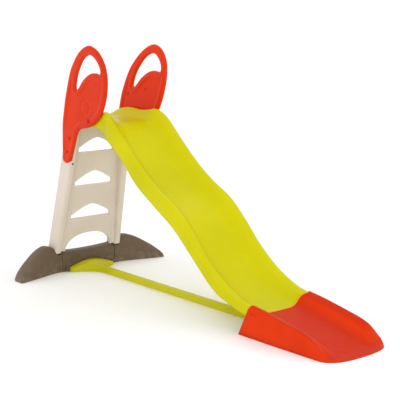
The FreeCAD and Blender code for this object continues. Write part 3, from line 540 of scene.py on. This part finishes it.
handleValues = {
    "deck": 1005.0, "low": -270.0, "rise": 455.0, "wide": 500.0, "half": 13.4,
    "rimRadius": 19.0, "panelHalf": 8.2, "panelEdge": (33.0, 43.0), "panelFoot": (-75.0, -20.0),
    "stemFade": (60.0, 120.0), "stemEdge": (14.0, 40.0), "stemSunk": 3.0,
    "boss": (255.0, 80.0), "bossDomeRadius": 38.0, "bossInner": (34.0, 41.0),
    "bossOuter": (49.0, 56.0), "bossDepth": 2.6, "bossCrown": 1.6,
    "dimples": ((121.0, 138.0), (298.0, 169.0)), "dimpleRadius": 12.5,
    "dimpleFloor": 5.5, "dimpleDepth": 6.2, "bead": 0.0011,
}
sheetValues = {
    "spacing": 4.5, "grid": 7.5, "rowShare": 0.866, "insets": (1.2, 3.2, 6.0, 9.5, 13.5, 18.0),
    "gridClear": 21.0, "ringClear": 12.0, "clearShare": 0.86, "ringStep": 4.5,
    "dimpleRings": (2.5, 5.5, 7.2, 9.0, 10.8, 12.5, 15.0), "dimpleKeep": 18.0,
    "bossRings": (32.0, 35.0, 38.0, 41.0, 45.0, 49.0, 52.0, 55.5, 59.0),
    "bossKeep": (29.0, 62.0), "edge": 0.02, "ringLeast": 10, "merge": 0.0001,
}
handleOutline = [(21, -262), (12, -218), (3, -140), (0, -70), (6, -10), (22, 62), (45, 140),
                 (80, 222), (122, 300), (170, 356), (222, 403), (280, 438), (344, 455),
                 (398, 444), (443, 414), (478, 366), (495, 310), (495, 240), (477, 160),
                 (441, 76), (406, 30), (355, -8), (290, -36), (225, -47), (184, -62),
                 (157, -95), (134, -160), (113, -223), (92, -262), (57, -277)]
handleOpening = [(340, 400), (300, 386), (263, 362), (227, 325), (196, 285), (174, 242),
                 (163, 208), (162, 190), (174, 184), (203, 204), (236, 236), (275, 263),
                 (316, 283), (356, 292), (394, 293), (425, 288), (440, 296), (441, 320),
                 (425, 352), (395, 382), (366, 397)]
handleLean = [(720, 231), (800, 222), (900, 214), (960, 213), (1080, 213), (1160, 215),
              (1230, 219), (1320, 227), (1406, 237), (1480, 246)]  # height, distance out


def insideLoop(point, loop):
    inside = False
    x, y = point
    for index in range(len(loop)):
        a = loop[index]
        b = loop[index - 1]
        if (a.y > y) != (b.y > y) and x < (b.x - a.x) * (y - a.y) / (b.y - a.y) + a.x:
            inside = not inside
    return inside


def edgeDistance(points, loops):  # distance of each point to the nearest boundary
    starts = np.array([tuple(p) for loop in loops for p in loop])
    ends = np.array([tuple(loop[(i + 1) % len(loop)]) for loop in loops
                     for i in range(len(loop))])
    span = ends - starts
    length = (span ** 2).sum(1)
    result = np.empty(len(points))
    for index, point in enumerate(points):
        t = np.clip(((point - starts) * span).sum(1) / length, 0.0, 1.0)
        near = starts + span * t[:, None]
        result[index] = np.sqrt(((near - point) ** 2).sum(1).min())
    return result


def handleThickness(x, h, distance, outer):  # half thickness, from the distance to the edge
    values = handleValues
    share = min(1.0, distance / values["rimRadius"])
    half = values["half"] * math.sqrt(max(0.0, 1.0 - (1.0 - share) ** 2))
    upper = smoothStep(h, *values["panelFoot"])
    sunk = smoothStep(distance, *values["panelEdge"]) * upper
    half -= sunk * (values["half"] - values["panelHalf"])
    lower = smoothStep(-h, *values["stemFade"])
    half -= lower * values["stemSunk"] * smoothStep(distance, *values["stemEdge"])
    if outer:
        radius = math.hypot(x - values["boss"][0], h - values["boss"][1])
        ring = (smoothStep(radius, *values["bossInner"])
                - smoothStep(radius, *values["bossOuter"]))
        half -= values["bossDepth"] * ring
        dome = 1.0 - smoothStep(radius, 0.0, values["bossDomeRadius"])
        half += values["bossCrown"] * dome
    else:
        for dimple in values["dimples"]:
            radius = math.hypot(x - dimple[0], h - dimple[1])
            half -= values["dimpleDepth"] * (1.0 - smoothStep(radius, values["dimpleFloor"],
                                                              values["dimpleRadius"]))
    return half


def nearCircle(x, h):  # places that are sampled along circles of their own
    boss = handleValues["boss"]
    low, high = sheetValues["bossKeep"]
    if low < math.hypot(x - boss[0], h - boss[1]) < high:
        return True
    keep = sheetValues["dimpleKeep"]
    return any(math.hypot(x - a, h - b) < keep for a, b in handleValues["dimples"])


def insetPoints(loops):  # points beside the edges, where the section is round
    found = []
    for loop in loops:
        for inset in sheetValues["insets"]:
            for index in range(len(loop)):
                along = loop[(index + 1) % len(loop)] - loop[index - 1]
                side = Vector((-along.y, along.x)).normalized()
                for sign in (1.0, -1.0):
                    spot = loop[index] + side * inset * sign
                    if insideLoop(spot, loops[0]) and not insideLoop(spot, loops[1]):
                        found.append((spot.x, spot.y, inset))
    return found


def gridPoints(loops):  # even points over the flat middle
    found = []
    grid = sheetValues["grid"]
    row = 0
    h = handleValues["low"]
    while h < handleValues["rise"]:
        x = 0.0 if row % 2 else 0.5 * grid
        while x < handleValues["wide"]:
            inside = insideLoop((x, h), loops[0]) and not insideLoop((x, h), loops[1])
            if inside and not nearCircle(x, h):
                found.append((x, h, sheetValues["gridClear"]))
            x += grid
        h += grid * sheetValues["rowShare"]
        row += 1
    return found


def ringPoints():  # points along the circles of the dimples and the boss
    found = []
    circles = [(spot, sheetValues["dimpleRings"]) for spot in handleValues["dimples"]]
    circles.append((handleValues["boss"], sheetValues["bossRings"]))
    for spot, radii in circles:
        for index, radius in enumerate(radii):
            number = round(2.0 * math.pi * radius / sheetValues["ringStep"])
            number = max(sheetValues["ringLeast"], number)
            for k in range(number):
                turn = 2.0 * math.pi * (k + 0.5 * (index % 2)) / number
                found.append((spot[0] + radius * math.cos(turn),
                              spot[1] + radius * math.sin(turn), sheetValues["ringClear"]))
    return found


def handleSheet():  # flat triangulated outline shared by both handles
    loops = [roundLoop(drawn, sheetValues["spacing"])
             for drawn in (handleOutline, handleOpening)]
    points = [tuple(p) for loop in loops for p in loop]
    edges = []
    start = 0
    for loop in loops:
        count = len(loop)
        edges += [(start + i, start + (i + 1) % count) for i in range(count)]
        start += count
    extra = insetPoints(loops) + gridPoints(loops) + ringPoints()
    spots = np.array([(x, h) for x, h, need in extra])
    distance = edgeDistance(spots, loops)
    for (x, h, need), found in zip(extra, distance):
        if found > sheetValues["clearShare"] * need:
            points.append((x, h))
    flat = delaunay_2d_cdt([Vector(p) for p in points], edges, [], 0, sheetValues["merge"])
    verts = flat[0]
    triangles = []
    for face in flat[2]:
        middle = sum((verts[i] for i in face), Vector((0.0, 0.0))) / len(face)
        if insideLoop(middle, loops[0]) and not insideLoop(middle, loops[1]):
            triangles.append(tuple(face))
    distance = edgeDistance(np.array([tuple(v) for v in verts]), loops)
    return verts, triangles, distance


def buildHandle(name, side, sheet):
    verts, triangles, distance = sheet
    deck = handleValues["deck"]
    count = len(verts)
    points = []
    for outer in (True, False):
        for index in range(count):
            x, h = verts[index]
            half = handleThickness(x, h, distance[index], outer)
            if distance[index] < sheetValues["edge"]:
                half = 0.0
            middle = valueAt(handleLean, deck + h)
            y = middle + half if outer else middle - half
            points.append(place(x, side * y, deck + h))
    faces = [tuple(reversed(t)) for t in triangles]
    faces += [tuple(i + count for i in t) for t in triangles]
    mesh = bpy.data.meshes.new(name)
    mesh.from_pydata(points, [], faces)
    tidyNormals(mesh)
    return newPiece(name, mesh, "redPlastic", "ladder")


def buildPartingLine(name, side, drawn):  # thin raised line where the mould halves met
    path = []
    for spot in roundLoop(drawn, sheetValues["spacing"]):
        z = handleValues["deck"] + spot.y
        path.append(Vector(place(spot.x, side * valueAt(handleLean, z), z)))
    mesh = beadMesh(name, path, handleValues["bead"], True, (0, 1, 0))
    newPiece(name, mesh, "redPlastic", "ladder")


handleShape = handleSheet()
for label, side in (("left", 1), ("right", -1)):
    handle = buildHandle("moulded_handle_" + label, side, handleShape)
    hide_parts("handle_" + label)
    buildPartingLine("parting_line_outer_" + label, side, handleOutline)
    buildPartingLine("parting_line_opening_" + label, side, handleOpening)
print("handles built")

chuteValues = {"wall": 0.005, "stations": 150, "deckHalf": 197.0, "runHalf": 225.0,
               "flare": (395.0, 520.0), "start": -5.0, "end": 1790.0, "deckSide": 973.0,
               "sideRun": 92.0, "runGain": 1.3, "roundSteps": 3,
               "backDrops": (0.35, 0.7, 1.0)}
rimLine = [(-5, 1012), (70, 1043), (165, 1058), (285, 1050), (380, 1057), (440, 1062),
           (520, 1006), (650, 888), (800, 765), (930, 681), (1090, 597), (1215, 490),
           (1340, 364), (1478, 260), (1620, 189), (1710, 165), (1800, 153)]  # x, height
skirtLine = [(-5, 973), (300, 973), (380, 962), (450, 930), (520, 893), (640, 805),
             (780, 677), (961, 567), (1117, 475), (1294, 328), (1405, 233), (1478, 184),
             (1549, 156), (1669, 122), (1800, 104)]  # lower edge, x, height
channelLine = [(-5, 12), (70, 42), (165, 54), (285, 48), (380, 60), (440, 72), (560, 80),
               (1400, 78), (1650, 66), (1800, 60)]  # x, depth below the rim
rimRound = [(0.0, 18.0), (1.0, 11.0), (4.5, 5.0), (10.0, 1.2), (17.0, 0.0),
            (24.0, 0.8)]  # inwards, down
channelFall = [(0.42, 0.26), (0.60, 0.58), (0.80, 0.86),
               (1.0, 0.985)]  # share of the side, share of the depth
channelValues = {"lip": 32.0, "lipShare": 0.03, "lipDrop": 2.4, "floorIn": 22.0,
                 "skirtTop": 18.0}


def channelSide(half, rim, depth, run):  # from below the rolled rim to the flat floor
    values = channelValues
    side = [(half - inward, rim - down) for inward, down in rimRound]
    side.append((half - values["lip"], rim - values["lipShare"] * depth - values["lipDrop"]))
    side += [(half - share * run, rim - fall * depth) for share, fall in channelFall]
    side.append((half - run - values["floorIn"], rim - depth))
    return side


def chuteProfile(x):
    values = chuteValues
    grow = smoothStep(x, *values["flare"])
    half = values["deckHalf"] + (values["runHalf"] - values["deckHalf"]) * grow
    rim = valueAt(rimLine, x)
    depth = valueAt(channelLine, x)
    skirt = min(values["deckSide"], valueAt(skirtLine, x))
    run = values["sideRun"] + (half - values["deckHalf"]) * values["runGain"]
    top = rim - channelValues["skirtTop"]
    side = [(half, skirt), (half, skirt + 0.5 * (top - skirt))]
    side += channelSide(half, rim, depth, run)
    floorHalf = half - run - channelValues["floorIn"]
    right = side + [(k * floorHalf / 4.0, rim - depth) for k in (3, 2, 1)]
    line = right + [(0.0, rim - depth)] + [(-y, z) for y, z in reversed(right)]
    return roundLine(line, values["roundSteps"])


def gridMesh(name, rows):
    mesh = bpy.data.meshes.new(name)
    width = len(rows[0])
    points = [p for row in rows for p in row]
    faces = []
    for i in range(len(rows) - 1):
        for j in range(width - 1):
            a = i * width + j
            faces.append((a, a + 1, a + width + 1, a + width))
    mesh.from_pydata(points, [], faces)
    return mesh


def buildChute():
    values = chuteValues
    start = values["start"]
    rows = []
    for index in range(values["stations"] + 1):
        x = start + (values["end"] - start) * index / values["stations"]
        rows.append([place(x, p.x, p.y) for p in chuteProfile(x)])
    first = chuteProfile(start)
    for drop in values["backDrops"]:  # the back of the deck turns down into a closed wall
        rows.insert(0, [place(start, p.x, p.y + (values["deckSide"] - p.y) * drop)
                        for p in first])
    obj = newPiece("moulded_chute", gridMesh("moulded_chute", rows), "limePlastic", "slide")
    shell = obj.modifiers.new("wall", "SOLIDIFY")
    shell.thickness = values["wall"]
    shell.offset = 1.0
    shell.use_even_offset = False
    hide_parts("chute")


buildChute()
print("chute built")

footValues = {
    "half": 230.5, "narrow": 8.5, "narrowOver": (1800.0, 2340.0), "sideRun": 142.0,
    "rimIn": 17.0, "across": 84, "along": 74, "round": 9.0, "lipShare": 0.75, "lipGain": 4.0,
    "lean": 0.02, "flare": (1.5, 0.2), "backX": 1738.0, "backFade": 74.0, "backLean": 0.49,
    "backColumns": 10, "frontTurn": 6, "wall": 0.0045, "thin": 0.012, "thinLeast": 0.1,
    "weld": 0.0002, "bead": 0.0034, "beadDrop": 6,
    "lipTurns": (15.0, 30.0, 45.0, 60.0, 75.0, 90.0), "wallShares": (0.25, 0.5, 0.75, 1.0),
}
footRimLine = [(1620, 199), (1710, 175), (1800, 163), (1880, 150), (2000, 128), (2100, 108),
               (2150, 92), (2190, 68), (2225, 40), (2255, 19), (2290, 10), (2340, 7)]
footFloorLine = [(1620, 132), (1710, 111), (1800, 101), (1880, 89), (2000, 67), (2140, 40),
                 (2200, 25), (2255, 12), (2300, 7), (2340, 5)]
footFront = [(0, 2318), (60, 2316), (120, 2308), (165, 2294), (195, 2272),
             (214, 2238)]  # front edge seen from above, x over the distance from the middle
footNotch = [(0, 1740), (80, 1736), (120, 1729), (150, 1722), (175, 1726), (195, 1735),
             (207, 1739), (216, 1738)]  # cut back edge, read the same way


def footNarrowing(x):  # the foot is a little narrower towards its front
    return footValues["narrow"] * smoothStep(x, *footValues["narrowOver"])


def footSurface(x, y):
    half = footValues["half"] - footNarrowing(x)
    rim = valueAt(footRimLine, x)
    depth = rim - valueAt(footFloorLine, x)
    side = channelSide(half, rim, depth, footValues["sideRun"])
    inside = [spot for spot in side if spot[0] <= half - footValues["rimIn"]]
    line = [(0.0, rim - depth)] + list(reversed(inside))
    return valueAt(line, min(abs(y), half - footValues["rimIn"]))


def footRows():  # upper surface between the two rims, from the cut edge to the front
    values = footValues
    inner = values["half"] - values["rimIn"]
    rows = []
    for i in range(values["along"] + 1):
        row = []
        for j in range(values["across"] + 1):
            y = inner * (2.0 * j / values["across"] - 1.0)
            start = valueAt(footNotch, abs(y))
            end = valueAt(footFront, abs(y)) - values["round"]
            x = start + (end - start) * i / values["along"]
            y *= 1.0 - footNarrowing(x) / values["half"]
            row.append((x, y, footSurface(x, y)))
        rows.append(row)
    return rows


def skirtColumn(spot, away):  # rounded edge and wall down to the ground
    values = footValues
    x, y, z = spot
    radius = min(values["rimIn"], values["lipShare"] * z)
    out = min(values["rimIn"], radius + values["lipGain"])
    column = [spot]
    for step in values["lipTurns"]:
        angle = math.radians(step)
        reach = math.sin(angle) * out
        column.append((x + away.x * reach, y + away.y * reach,
                       z - radius * (1.0 - math.cos(angle))))
    low = column[-1]
    for share in values["wallShares"]:
        column.append((low[0] + away.x * values["flare"][0] * share,
                       low[1] + away.y * values["flare"][1] * share, low[2] * (1.0 - share)))
    return column


def leanBack(column):  # the back edges of the side walls slope backwards to the ground
    top = column[0]
    fade = max(0.0, 1.0 - (top[0] - footValues["backX"]) / footValues["backFade"])
    lean = footValues["backLean"] * fade
    return [(x - (top[2] - z) * lean, y, z) for x, y, z in column]


def footSkirt(rows):  # columns from the near back corner round the front to the far one
    values = footValues
    near = [row[0] for row in rows]
    far = [row[-1] for row in reversed(rows)]
    edge = near + rows[-1][1:-1] + far
    count = len(edge)
    skirt = []
    for index in range(count):
        before = edge[max(index - 1, 0)]
        after = edge[min(index + 1, count - 1)]
        away = Vector((after[1] - before[1], before[0] - after[0])).normalized()
        if index < len(near) - values["frontTurn"]:
            away = Vector((values["lean"], -1.0)).normalized()
        if index >= count - len(far) + values["frontTurn"]:
            away = Vector((values["lean"], 1.0)).normalized()
        skirt.append(skirtColumn(edge[index], away))
    last = count - values["backColumns"]
    return [leanBack(column) if index < values["backColumns"] or index >= last else column
            for index, column in enumerate(skirt)]


def footMesh(rows, skirt):
    work = bmesh.new()
    for block in (rows, skirt):
        grid = [[work.verts.new(place(*p)) for p in line] for line in block]
        for i in range(len(grid) - 1):
            for j in range(len(grid[0]) - 1):
                work.faces.new((grid[i][j], grid[i][j + 1], grid[i + 1][j + 1],
                                grid[i + 1][j]))
    bmesh.ops.remove_doubles(work, verts=work.verts, dist=footValues["weld"])
    bmesh.ops.recalc_face_normals(work, faces=work.faces)
    middle = Vector((1.0, 0.0))
    top = min(work.faces, key=lambda face: (face.calc_center_median().xy - middle).length)
    if top.normal.z < 0:
        bmesh.ops.reverse_faces(work, faces=work.faces)
    mesh = bpy.data.meshes.new("moulded_landing_foot")
    work.to_mesh(mesh)
    work.free()
    return mesh


def buildFoot():
    values = footValues
    rows = footRows()
    skirt = footSkirt(rows)
    mesh = footMesh(rows, skirt)
    obj = newPiece("moulded_landing_foot", mesh, "footPlastic", "slide")
    # the shell's cut edges take the lighter orange-red as a painted highlight
    mesh.materials.append(materials["highlightRedEdge"])
    shell = obj.modifiers.new("wall", "SOLIDIFY")
    shell.thickness = values["wall"]
    shell.offset = -1.0
    shell.material_offset_rim = 1
    thin = obj.vertex_groups.new(name="wall")
    for vert in mesh.vertices:  # the wall thins out where it meets the ground
        share = min(1.0, max(values["thinLeast"], vert.co.z / values["thin"]))
        thin.add([vert.index], share, "REPLACE")
    shell.vertex_group = "wall"
    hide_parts("landing_foot")
    # painted highlight: a bright yellow-orange bead along the cut back edge stands in for its
    # lit edge line
    nearEnd = skirt[0][1:values["beadDrop"]]
    farEnd = skirt[-1][1:values["beadDrop"]]
    path = [Vector(place(*spot)) for spot in nearEnd[::-1] + rows[0] + farEnd]
    bead = beadMesh("foot_edge_bead", path, values["bead"], False, (1, 0, 0))
    newPiece("foot_edge_bead", bead, "highlightFootEdge", "slide")


buildFoot()
print("landing foot built")

edgeValues = {"ladder_rail_left": 0.003, "ladder_rail_right": 0.003, "ladder_step_1": 0.003,
              "ladder_step_2": 0.003, "ladder_step_3": 0.003, "ladder_top_bridge": 0.003,
              "base_crossbar": 0.0025, "base_foot_left": 0.003, "base_foot_right": 0.003,
              "tie_bar": 0.0025}  # bevel widths of the flat mouldings
bevelValues = {"weld": 0.00003, "segments": 3, "angle": 38.0}


def softenEdges(node, width):
    weld = node.modifiers.new("weld", "WELD")
    weld.merge_threshold = bevelValues["weld"]
    bevel = node.modifiers.new("softEdges", "BEVEL")
    bevel.width = width
    bevel.segments = bevelValues["segments"]
    bevel.limit_method = "ANGLE"
    bevel.angle_limit = math.radians(bevelValues["angle"])
    bevel.harden_normals = True
    bevel.use_clamp_overlap = True


for name, width in edgeValues.items():
    softenEdges(nodes[name], width)
print("edges softened")

capValues = {"pivot_bolts": {"axis": 1, "side": 0, "dome": 0.36, "socket": 0.0},
             "handle_screws": {"axis": 1, "side": 0, "dome": 0.30, "socket": 0.0},
             "landing_foot_screws": {"axis": 1, "side": 0, "dome": 0.25, "socket": 0.0},
             "step_screws": {"axis": 0, "side": -1, "dome": 0.36, "socket": 0.45},
             "rail_foot_screws": {"axis": 0, "side": -1, "dome": 0.36, "socket": 0.45}}
headValues = {"sides": 28, "over": 0.0004, "foot": -0.0003, "brim": 0.0002,
              "socketClear": 1.15, "socketLip": 0.00008, "socketFoot": 0.9,
              "socketDepth": 0.35, "weld": 0.00002,
              "domeTurns": (15.0, 30.0, 45.0, 60.0, 75.0)}


def looseBoxes(node):  # box of each separate solid in a node
    work = bmesh.new()
    work.from_mesh(node.data)
    bmesh.ops.remove_doubles(work, verts=work.verts, dist=headValues["weld"])
    work.verts.ensure_lookup_table()
    seen = set()
    boxes = []
    for start in work.verts:
        if start.index in seen:
            continue
        seen.add(start.index)
        waiting = [start]
        found = []
        while waiting:
            vert = waiting.pop()
            found.append(vert.co.copy())
            for edge in vert.link_edges:
                other = edge.other_vert(vert)
                if other.index not in seen:
                    seen.add(other.index)
                    waiting.append(other)
        low = [min(spot[k] for spot in found) for k in range(3)]
        high = [max(spot[k] for spot in found) for k in range(3)]
        boxes.append((low, high))
    work.free()
    return boxes


def capProfile(radius, dome, socket):  # radius and height of each ring of a domed head
    values = headValues
    brim = values["brim"]
    rings = [(radius, values["foot"]), (radius, brim)]
    for step in values["domeTurns"]:
        angle = math.radians(step)
        rings.append((radius * math.cos(angle), brim + radius * dome * math.sin(angle)))
    if not socket:
        return rings + [(0.0, brim + radius * dome)]
    inner = radius * socket
    rings = [ring for ring in rings if ring[0] > inner * values["socketClear"]]
    top = rings[-1][1]
    bottom = top * values["socketDepth"]
    return rings + [(inner, top + values["socketLip"]), (inner * values["socketFoot"], bottom),
                    (0.0, bottom)]


def capRing(work, middle, axis, reach, radius):  # one ring, or a single point in the middle
    first, second = [k for k in range(3) if k != axis]
    spots = []
    for k in range(headValues["sides"] if radius else 1):
        turn = 2.0 * math.pi * k / headValues["sides"]
        spot = list(middle)
        spot[axis] += reach
        spot[first] += radius * math.cos(turn)
        spot[second] += radius * math.sin(turn)
        spots.append(work.verts.new(spot))
    return spots


def addCap(work, low, high, values):
    axis = values["axis"]
    middle = [0.5 * (a + b) for a, b in zip(low, high)]
    side = values["side"] or (1 if middle[axis] > 0 else -1)
    middle[axis] = high[axis] if side > 0 else low[axis]
    widest = max(high[k] - low[k] for k in range(3) if k != axis)
    profile = capProfile(0.5 * widest + headValues["over"], values["dome"], values["socket"])
    rings = [capRing(work, middle, axis, side * rise, radius) for radius, rise in profile]
    for first, second in zip(rings, rings[1:]):
        for k in range(len(first)):
            after = (k + 1) % len(first)
            if len(second) == 1:
                work.faces.new((first[k], first[after], second[0]))
            else:
                work.faces.new((first[k], first[after], second[after], second[k]))
    work.faces.new(rings[0])


def buildCaps(name, values):
    work = bmesh.new()
    for low, high in looseBoxes(nodes[name]):
        addCap(work, low, high, values)
    bmesh.ops.recalc_face_normals(work, faces=work.faces)
    mesh = bpy.data.meshes.new("domed_" + name)
    work.to_mesh(mesh)
    work.free()
    body = "slide" if name == "landing_foot_screws" else "ladder"
    newPiece("domed_" + name, mesh, finishes.get(name, "zincSteel"), body)


for name, values in capValues.items():
    buildCaps(name, values)
print("heads built")

gripValues = {"rows": 5, "radius": 0.0019, "sunk": 0.0007, "back": 0.030, "front": 0.034,
              "side": 0.022, "ends": ((0.004, 0.0), (0.001, 0.0006), (0.0, 0.0018))}


def buildGrips(name):  # low rounded ribs across a tread
    low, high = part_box(name)
    values = gripValues
    first = low[0] + values["back"]
    last = high[0] - values["front"]
    half = high[1] - values["side"]
    for row in range(values["rows"]):
        x = first + (last - first) * row / (values["rows"] - 1)
        z = high[2] - values["sunk"]
        right = [Vector((x, half - inward, z - drop)) for inward, drop in values["ends"]]
        path = [Vector((x, -spot.y, spot.z)) for spot in reversed(right)] + right
        label = "%s_grip_%d" % (name, row + 1)
        newPiece(label, beadMesh(label, path, values["radius"], False, (1, 0, 0)),
                 "beigePlastic", "ladder")


for name in ("ladder_step_1", "ladder_step_2", "ladder_step_3"):
    buildGrips(name)
print("tread grips built")
